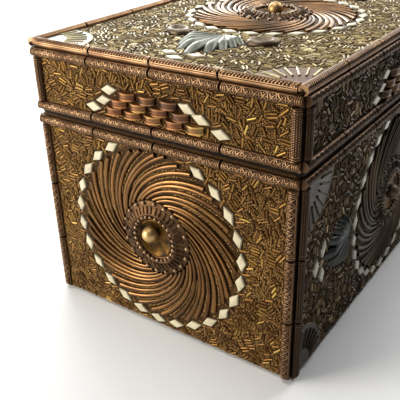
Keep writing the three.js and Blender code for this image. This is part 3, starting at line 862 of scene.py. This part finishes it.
# overhang: 0, or on the rim 1 or -1, towards or against +y
def mouldingMesh(node, face, reliefOf, grade, overhang):
    spans = onFace(node, face)
    size = [high - low for low, high in spans]
    middle = [(high + low) / 2 for low, high in spans]
    upright = size[1] > size[0]
    length = max(size)
    pieces = 1 if grade == "hidden" else max(1, round(length / moulding["pieceLength"]))
    pieceLength = length / pieces
    step, sides = mouldingSteps[grade]
    steps = int(length / step)
    radius, axis = moulding["radius"], moulding["axis"]
    first = -math.asin(axis / radius)
    last = 1.5 * math.pi - math.asin(moulding["rimInset"] / radius) if overhang else math.pi - first
    angles = np.linspace(first, last, sides + 1)
    if overhang > 0:
        angles = math.pi - angles[::-1]
    alongs = np.linspace(0, length, steps + 1)
    s, angle = np.meshgrid(alongs, angles, indexing="ij")
    around = (angle - math.pi / 2) * radius + overhang * moulding["rimLean"]
    local = np.mod(s, pieceLength)
    local = np.where(s >= length - 1e-6, pieceLength, local)
    pattern = reliefOf(local, around, pieceLength)
    seat = np.clip(np.minimum(angle - angles[0], angles[-1] - angle) / moulding["seatReach"], 0, 1)
    toJoint = np.minimum(local, pieceLength - local)
    groove = np.clip(1 - toJoint / moulding["jointHalf"], 0, 1) * (pieces > 1)
    groove = np.where(np.minimum(s, length - s) < moulding["uncutEnd"], 0, groove)
    push = ((pattern - moulding["level"]) * moulding["relief"] - groove * moulding["jointDepth"]) * seat
    y = (radius + push) * np.cos(angle)
    z = axis + (radius + push) * np.sin(angle)
    if node.startswith("body_upright"):  # rounded off at the foot
        rise = np.clip(s / moulding["footReach"], moulding["footLow"], 1)
        z = z * np.sqrt(1 - (1 - rise) ** 2)
    relief = pattern - groove
    if overhang:  # a corner under the rod, where it hangs over the edge
        corner = np.full((steps + 1, 1), overhang * moulding["rimInset"])
        y, z, relief = (np.concatenate([grid, column] if overhang < 0 else [column, grid], 1)
                        for grid, column in ((y, corner), (z, corner * 0), (relief, corner * 0)))
    x = np.repeat(alongs[:, None] - length / 2, y.shape[1], 1)
    if upright:
        points = np.stack([middle[0] - y, middle[1] + x, z], -1)
    else:
        points = np.stack([middle[0] + x, middle[1] + y, z], -1)
    row = y.shape[1]
    quads = []
    for i in range(steps):
        a, b = i * row, (i + 1) * row
        quads += [(a + j, b + j, b + j + 1, a + j + 1) for j in range(row - 1)]
        quads.append((a + row - 1, b + row - 1, b, a))
    quads.append(tuple(range(row)))
    quads.append(tuple(range(steps * row + row - 1, steps * row - 1, -1)))
    mesh = solidMesh(node, points.reshape(-1, 3).tolist(), quads)
    mesh.transform(faces[face])
    corners = np.empty(2 * len(mesh.edges), np.int32)
    mesh.edges.foreach_get("vertices", corners)
    rings = corners.reshape(-1, 2) // row
    sharp = (rings[:, 0] == rings[:, 1]) & ((rings[:, 0] == 0) | (rings[:, 0] == steps))
    mark(mesh, "sharp_edge", "BOOLEAN", "EDGE", sharp)
    relief = np.clip(relief, 0, 1).ravel().astype(np.float32)
    if upright:  # less rubbed than the rest
        relief *= moulding["uprightRub"]
    mark(mesh, "relief", "FLOAT", "POINT", relief)
    return mesh


mouldingNodes = [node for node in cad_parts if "moulding" in node or "upright" in node]
for node in mouldingNodes:
    rim = node.startswith("rim")
    face = "top" if rim else next(name for name in faces if "_" + name in node)
    grade = "front" if rim else face if face in mouldingSteps else "hidden"
    plainer = node.startswith("lid_upright") or "upright_right" in node
    reliefOf = barredRelief if grade == "hidden" else dottedRelief if plainer else latticeRelief
    overhang = 0
    if rim:
        reliefOf = beadedRelief
        overhang = -1 if node.endswith(("front", "right")) else 1
    mesh = mouldingMesh(node, face, reliefOf, grade, overhang)
    newPiece("embossed_" + node, mesh, finishOn(face, "moulding"), "moulding", node)
print("mouldings embossed:", len(mouldingNodes))


# swirl rosettes: a wheel of wires grown by a tree of its own
swirl = {"start": 19.6, "thickness": 0.96, "flat": 0.85, "sweep": 1.5, "steps": 24, "sides": 8,
         "inset": 3.4, "lift": 0.55, "taper": (0.8, 0.32), "wobble": 0.03, "stretch": (0.985, 1.012),
         "seed": 7, "stretchSeed": 5, "toneSeed": 9}
gapFill = {"from": (26.0, 28.0), "short": 0.4, "step": 0.34, "aside": 0.5, "tall": 1.35, "sizes": (0.8, 1.15),
           "tones": (0.3, 1.0), "seed": 400}


def hubPull(face, radius):  # the wires start round the hub and end round the centre of the ring
    share = (rosettes[face]["ring"] - radius) / (rosettes[face]["ring"] - swirl["start"])
    x, y = rosettes[face]["hub"]
    return x * share, y * share


def wheelTree():
    inputs = {"Base": "Geometry", "Inner Radius": "Float", "Outer Radius": "Float", "Sweep": "Float",
              "Wire Radius": "Float", "Wires": "Int", "Steps": "Int", "Sides": "Int", "Seed": "Int",
              "Finish": "Material"}
    flow, given = newTree("swirlWheel", inputs, "Wheel")
    line = flow.add("GeometryNodeCurvePrimitiveLine", None, {"Start": (0, 0, 0), "End": (1, 0, 0)})
    line = flow.add("GeometryNodeResampleCurve", None, {"Curve": line, "Count": given["Steps"]})
    share = flow.add("GeometryNodeSplineParameter", None, None, "Factor")
    growth = flow.maths("DIVIDE", given["Outer Radius"], given["Inner Radius"])
    radius = given["Inner Radius"] * growth ** share
    angle = flow.maths("LOGARITHM", growth ** share, math.e) * given["Sweep"] * -1.0
    x = radius * flow.maths("COSINE", angle)
    y = radius * flow.maths("SINE", angle)
    z = given["Wire Radius"] * swirl["lift"]
    place = flow.add("ShaderNodeCombineXYZ", None, {"X": x, "Y": y, "Z": z})
    spiral = flow.add("GeometryNodeSetPosition", None, {"Geometry": line, "Position": place})
    sockets = {"Resolution": given["Sides"], "Radius": given["Wire Radius"]}
    ring = flow.add("GeometryNodeCurvePrimitiveCircle", None, sockets)
    taper = share * swirl["taper"][1] + swirl["taper"][0]
    sockets = {"Curve": spiral, "Profile Curve": ring, "Scale": taper, "Fill Caps": True}
    wire = flow.add("GeometryNodeCurveToMesh", None, sockets)
    spots = flow.add("GeometryNodePoints", None, {"Count": given["Wires"]})
    number = flow.add("GeometryNodeInputIndex")
    step = flow.maths("DIVIDE", 2 * math.pi, given["Wires"])

    def drawn(low, high, seed):  # a random value for each wire
        return flow.add("FunctionNodeRandomValue", {"data_type": "FLOAT"}, {2: low, 3: high, "Seed": seed}, 1)

    wobble = drawn(-swirl["wobble"], swirl["wobble"], given["Seed"])
    turn = flow.add("ShaderNodeCombineXYZ", None, {"Z": number * step + wobble})
    stretch = drawn(*swirl["stretch"], given["Seed"] + swirl["stretchSeed"])
    sockets = {"Points": spots, "Instance": wire, "Rotation": turn, "Scale": stretch}
    wheel = flow.add("GeometryNodeInstanceOnPoints", None, sockets)
    tone = drawn(0.0, 1.0, given["Seed"] + swirl["toneSeed"])
    sockets = {"Geometry": wheel, "Name": "tone", "Value": tone}
    named = {"data_type": "FLOAT", "domain": "INSTANCE"}
    return endTree(flow, flow.add("GeometryNodeStoreNamedAttribute", named, sockets), given["Finish"])


wheel = wheelTree()


def wheelMesh(face, seed):
    holder = bpy.data.objects.new("wheelHolder", bpy.data.meshes.new("wheelHolder"))
    bpy.context.scene.collection.objects.link(holder)
    values = {"Inner Radius": swirl["start"] * mm,
              "Outer Radius": (rosettes[face]["ring"] - swirl["inset"]) * mm,
              "Sweep": swirl["sweep"], "Wire Radius": swirl["thickness"] * mm,
              "Wires": rosettes[face]["wires"], "Steps": swirl["steps"], "Sides": swirl["sides"],
              "Seed": seed, "Finish": finishOn(face, "swirl")}
    mesh = plainMesh(holder, wheel, values)
    bpy.data.objects.remove(holder)
    mesh.polygons.foreach_set("use_smooth", [True] * len(mesh.polygons))
    for corner in mesh.vertices:
        x, y = hubPull(face, math.hypot(corner.co.x, corner.co.y) / mm)
        corner.co += Vector((x, y, 0)) * mm
    mesh.transform(onSpot(face, *rosettes[face]["centre"]) @ Matrix.Diagonal((1, 1, swirl["flat"], 1)))
    return mesh


# rings: how many, radius, height and size
boss = {"plate": ((19.1, 0.0), (19.1, 0.5), (18.6, 0.85), (16.4, 1.05), (13.2, 2.3), (12.7, 2.6),
                  (12.1, 2.5), (11.7, 1.9), (10.0, 1.65), (9.6, 0.4), (0, 0.4)),
        "cup": ((9.7, 0.2), (9.7, 1.6), (9.4, 1.85), (9.0, 1.7), (8.3, 1.0), (6.8, 0.6),
                (4.6, 0.5), (3.0, 0.6), (0, 0.7)),
        "ball": 3.95, "ballHeight": 2.7, "ballSteps": 8, "ballFoot": -30,
        "sides": {"plate": 64, "cup": 48, "ball": 32},
        "innerBeads": (26, 11.2, 2.2, (1.12, 1.12, 1.12)), "outerBeads": (20, 18.0, 1.0, (1.22, 1.22, 1.22)),
        "ribs": (38, 14.8, 1.7, (3.2, 0.58, 0.58)), "ribSlope": -2.35,
        "jitter": 0.08, "tones": (0.2, 1.0), "seed": 300}


def hubPlace(face):
    rosette = rosettes[face]
    return rosette["centre"][0] + rosette["hub"][0], rosette["centre"][1] + rosette["hub"][1]


def aboutAxis(face, ring, draw):
    count, radius, height, stretch = boss[ring]
    x, y = hubPlace(face)
    places = []
    for i in range(count):
        angle = 2 * math.pi * (i + draw.uniform(-boss["jitter"], boss["jitter"])) / count
        spot = (face, *polar(x, y, radius, angle), height, angle)
        places.append((*spot, stretch, draw.uniform(*boss["tones"])))
    return places


def ballProfile():
    profile = []
    for i in range(boss["ballSteps"]):
        angle = math.radians(boss["ballFoot"] + (90 - boss["ballFoot"]) * i / boss["ballSteps"])
        profile.append(polar(0, boss["ballHeight"], boss["ball"], angle))
    return [*profile, (0, boss["ballHeight"] + boss["ball"])]


def bossPieces(face, number):
    x, y = hubPlace(face)
    dx, dy = rosettes[face].get("ball", (0, 0))
    middles = {"plate": (x, y), "cup": (x, y), "ball": (x + dx, y + dy)}
    for name, middle in middles.items():
        profile = ballProfile() if name == "ball" else boss[name]
        mesh = solidMesh(name, *lathe(profile, boss["sides"][name]))
        mesh.transform(onSpot(face, *middle))
        newPiece(name + "_" + face, mesh, finishOn(face, name), "rosette")
    draw = random.Random(boss["seed"] + number)
    beads = aboutAxis(face, "innerBeads", draw) + aboutAxis(face, "outerBeads", draw)
    setPieces("beads_" + face, beadShape(), beads, finishOn(face, "bead"), "rosette")
    ribs, ribShape = aboutAxis(face, "ribs", draw), wireBitShape(boss["ribSlope"])
    setPieces("ribs_" + face, ribShape, ribs, finishOn(face, "plate"), "rosette")


def gapGrains(face, number):  # granulation in the channels between the wires
    x, y = rosettes[face]["centre"]
    draw = random.Random(gapFill["seed"] + number)
    places = []
    wires = rosettes[face]["wires"]
    for wire in range(wires):
        radius = draw.uniform(*gapFill["from"])
        while radius < rosettes[face]["ring"] - swirl["inset"] - gapFill["short"]:
            angle = 2 * math.pi * (wire + 0.5) / wires - swirl["sweep"] * math.log(radius / swirl["start"])
            size = grains["size"] * draw.uniform(*gapFill["sizes"])
            angle += draw.uniform(-gapFill["aside"], gapFill["aside"]) / radius
            dx, dy = hubPull(face, radius)
            spot = (face, *polar(x + dx, y + dy, radius, angle), grains["sunk"])
            turn = draw.uniform(*grains["turns"])
            stretch = (size, size, size * gapFill["tall"])
            places.append((*spot, turn, stretch, draw.uniform(*gapFill["tones"])))
            radius += gapFill["step"]
    setPieces("gap_grains_" + face, seedShape, places, finishOn(face, "grain"), "rosette")


for number, face in enumerate(rosettes):
    mesh = wheelMesh(face, swirl["seed"] + number)
    newPiece("swirl_wires_" + face, mesh, None, "rosette", "swirl_rosette_" + face)
    bossPieces(face, number)
    if rosettes[face]["tiles"]:
        gapGrains(face, number)
print("rosettes grown:", len(rosettes))

tileLook = {"sizes": (0.95, 1.05), "thickness": 1.1, "tones": (0.1, 1.0), "seed": 41}
tileShape = lozengeShape()
draw = random.Random(tileLook["seed"])
for face in ("front", "right", "top"):
    places = []
    for x, y, turn in ringTiles(face) + looseTiles[face]:
        size = draw.uniform(*tileLook["sizes"])
        stretch = (size, size, tileLook["thickness"])
        places.append((face, x, y, 0.0, turn, stretch, draw.uniform(*tileLook["tones"])))
    setPieces("lozenges_" + face, tileShape, places, finishOn(face, "tile"), "tile")


# copper scales on the lid
scaleForm = {"sink": 2.1, "steps": 12, "aside": 0.3, "lean": 0.04, "seed": 77,
             "profile": ((4.75, -1.9, 0.4), (5.25, -1.8, 1.0), (5.25, -1.3, 1.0), (4.95, -1.1, 0.0),
                         (4.95, 0.75, 0.0), (5.25, 0.95, 1.0), (5.25, 1.5, 1.0), (4.75, 1.6, 0.7))}


def scaleShape():  # half-round, with a rim at both ends and a flat back: radius, height, and rub with painted highlight
    points = []
    steps, sink = scaleForm["steps"], scaleForm["sink"]
    for radius, height, rubAndHighlight in scaleForm["profile"]:
        first = math.asin(sink / radius)
        for i in range(steps + 1):
            angle = first + (math.pi - 2 * first) * i / steps
            points.append((radius * math.cos(angle), height, max(0, radius * math.sin(angle) - sink)))
    row = steps + 1
    ends = [tuple(range(row))[::-1], tuple(range(len(points) - row, len(points)))]
    mesh = solidMesh("scale", points, [*strips(len(scaleForm["profile"]), row), *ends])
    rim = [rubAndHighlight for radius, height, rubAndHighlight in scaleForm["profile"] for i in range(row)]
    mark(mesh, "rim", "FLOAT", "POINT", rim)
    sharpenRings(mesh, row)
    return mesh


draw = random.Random(scaleForm["seed"])
for face, middle in lidScales.items():
    places = []
    for (count, shift, y), tones in zip(scaleRows["rows"], scaleRows["tones"]):
        for i in range(count):
            x = middle + shift + scaleRows["pitch"] * (i - (count - 1) / 2)
            x += draw.uniform(-scaleForm["aside"], scaleForm["aside"])
            lean = draw.uniform(-scaleForm["lean"], scaleForm["lean"])
            places.append((face, x, y, 0.0, lean, (1, 1, 1), tones[i]))
    finish = finishOn(face, "scale")
    setPieces("scales_" + face, scaleShape(), places, finish, "copper", "scale_rows_" + face)


# corner fans: a quarter disc with radial bits
def fanMesh(x, y, turn, face):
    radius, steps, levels = fanLook["radius"], fanLook["steps"], fanLook["levels"]
    points = []
    for share, height in levels:
        for i in range(steps + 1):
            points.append((*polar(0, 0, radius * share, math.pi / 2 * i / steps), height))
    row = steps + 1
    sides = list(strips(len(levels), row, False))
    points += [(0, 0, levels[0][1]), (0, 0, levels[-1][1])]
    floor, roof = len(points) - 2, len(points) - 1
    for i in range(steps):
        sides += [(i + 1, i, floor), (3 * row + i, 3 * row + i + 1, roof)]
    sides.append((floor, 0, row, 2 * row, 3 * row, roof))
    sides.append((roof, 3 * row + steps, 2 * row + steps, row + steps, steps, floor))
    mesh = solidMesh("fan", points, sides, False)
    mesh.transform(onSpot(face, x, y) @ Matrix.Rotation(math.radians(turn), 4, "Z"))
    return mesh


for face, corners in fanCorners.items():
    places = []
    for number, (x, y, turn) in enumerate(corners):
        # two top fans take the pale copy, a painted reflection of the light
        finish = finishes["fanPale"] if (face, number) in fanLook["pale"] else finishOn(face, "fan")
        node = "corner_fan_%s_%d" % (face, number + 1)
        newPiece("slatted_" + node, fanMesh(x, y, turn, face), finish, "copper", node)
        for i in range(fanLook["slats"]):
            angle = math.radians(turn + 90 * (i + 0.5) / fanLook["slats"])
            spot = (face, *polar(x, y, fanLook["slatRing"], angle), fanLook["slatRise"], angle)
            places.append((*spot, fanLook["slat"], draw.uniform(*fanLook["tones"][face])))
        for i in range(fanLook["edging"]):
            angle = math.radians(turn + 90 * (i + 0.5) / fanLook["edging"])
            far = fanLook["radius"] + fanLook["edgingGap"]
            spot = (face, *polar(x, y, far, angle), fanLook["edgingRise"], angle + math.pi / 2)
            places.append((*spot, fanLook["edgingBit"], draw.uniform(*fanLook["edgingTones"])))
    setPieces("fan_slats_" + face, bitShape, places, finishOn(face, "bit"), "copper")


# palmettes and oval bosses
def petalShape():  # a plump lobe along y, one long, half width and height 1
    points = []
    steps, across = petalLook["steps"], petalLook["across"]
    narrow, gain = petalLook["crest"]
    for i in range(1, steps):
        share = i / steps
        width = lobeWidth(share)
        crest = (narrow + gain * width) * min(1, petalLook["tipFall"] * (1 - share))
        for j in range(across + 1):
            angle = math.pi * j / across
            points.append((-math.cos(angle) * width, share, math.sin(angle) ** petalLook["plump"] * crest))
    row = across + 1
    points += [(0, petalLook["rootGap"], 0.0), (0, 1.0, 0.0)]
    root, tip = len(points) - 2, len(points) - 1
    sides = list(strips(steps - 1, row))
    last = (steps - 2) * row
    for j in range(row):
        k = (j + 1) % row
        sides += [(root, k, j), (last + j, last + k, tip)]
    return solidMesh("petal", points, sides)


for node, palmette in palmettes.items():
    places = []
    for turn, length, half in lobes(palmette):
        spot = (palmette["face"], *palmette["root"], 0.0, turn)
        places.append((*spot, (half, length, petalLook["rise"]), draw.uniform(*petalLook["tones"])))
    setPieces("petals_" + node, petalShape(), places, finishOn(palmette["face"], "pewter"), "pewter", node)

ovalLook = {"profile": ((1.0, 0.0), (1.0, 0.35), (0.95, 0.72), (0.84, 0.95), (0.72, 1.0), (0.6, 0.86),
                        (0.45, 0.6), (0.3, 0.5), (0.15, 0.58), (0, 0.62)),
            "size": (7.4, 5.6, 2.6), "sides": 28, "tones": (0.4, 1.0)}
ovalShape = solidMesh("oval", *lathe(ovalLook["profile"], ovalLook["sides"]))
for number, (x, y, lean) in enumerate(ovalBosses, 1):
    places = [("top", x, y, 0.0, math.radians(lean), ovalLook["size"], draw.uniform(*ovalLook["tones"]))]
    name, node = "dished_oval_top_%d" % number, "oval_boss_top_%d" % number
    setPieces(name, ovalShape, places, finishes["oval"], "pewter", node)
print("scales, fans, petals and bosses set")

# floor, light and camera
floorLook = {"half": 1000, "paper": rgb(0.94, 0.94, 0.94), "roughness": 0.9}
half = floorLook["half"]
corners = [(-half, -half, 0), (half, -half, 0), (half, half, 0), (-half, half, 0)]
floorMesh = solidMesh("floor", corners, [(0, 1, 2, 3)])
floor = bpy.data.objects.new("floor", floorMesh)
bpy.context.scene.collection.objects.link(floor)
paper, flow, shader = newFinish("palePaper")
finishUp(flow, shader, floorLook["paper"], floorLook["roughness"], 0.0)
floorMesh.materials.append(paper)

lampTarget = Vector((0, 0, 0.06))
lamps = {
    "key": {"place": (-1.05, -1.10, 0.36), "size": 0.8, "power": 29.0, "tint": (1.0, 0.965, 0.90)},
    "window": {"place": (-1.00, 0.78, 0.46), "size": 0.7, "power": 15.0, "tint": (0.97, 1.0, 0.97)},
    "sky": {"place": (-0.62, 1.15, 0.50), "size": 1.3, "power": 12.0, "tint": (0.97, 1.0, 0.98)},
    "over": {"place": (-0.35, -0.10, 1.40), "size": 0.9, "power": 13.0, "tint": (1.0, 1.0, 1.0)},
    "rear": {"place": (0.30, 1.05, 0.95), "size": 0.5, "power": 9.0, "tint": (1.0, 1.0, 1.0)},
}
for name, lamp in lamps.items():
    light = bpy.data.lights.new(name, "AREA")
    light.size = lamp["size"]
    light.energy = lamp["power"]
    light.color = lamp["tint"]
    holder = bpy.data.objects.new(name, light)
    holder.location = lamp["place"]
    holder.rotation_euler = (lampTarget - Vector(lamp["place"])).to_track_quat("-Z", "Y").to_euler()
    bpy.context.scene.collection.objects.link(holder)

room = {"glow": 0.04}  # a dim room, white where it shows behind the casket
world = bpy.data.worlds.new("studio")
world.use_nodes = True
air = Flow(world.node_tree)
seen = air.add("ShaderNodeLightPath", None, None, "Is Camera Ray")
backdrop = world.node_tree.nodes["Background"]
backdrop.inputs["Color"].default_value = rgb(1.0, 1.0, 1.0)
air.feed(backdrop.inputs["Strength"], seen * (1 - room["glow"]) + room["glow"])
bpy.context.scene.world = world
bpy.context.scene.view_settings.view_transform = "Standard"

view = {"place": (164.974, -304.694, 209.367), "lens": 58.05, "sensor": 36.0, "near": 0.01,
        "right": (0.82195, 0.56903, -0.02446), "up": (-0.24873, 0.39724, 0.88337),
        "back": (0.51238, -0.72000, 0.46804)}
cameraData = bpy.data.cameras.new("photoView")
cameraData.lens = view["lens"]
cameraData.sensor_width = view["sensor"]
cameraData.clip_start = view["near"]
camera = bpy.data.objects.new("photoView", cameraData)
turned = Matrix((view["right"], view["up"], view["back"])).transposed().to_4x4()
camera.matrix_world = Matrix.Translation(Vector(view["place"]) * mm) @ turned
bpy.context.scene.collection.objects.link(camera)
bpy.context.scene.camera = camera

bpy.context.view_layer.update()
shown = [item for item in bpy.context.scene.objects if item.type == "MESH" and not item.hide_render]
print("triangles:", sum(len(side.vertices) - 2 for item in shown for side in item.data.polygons))
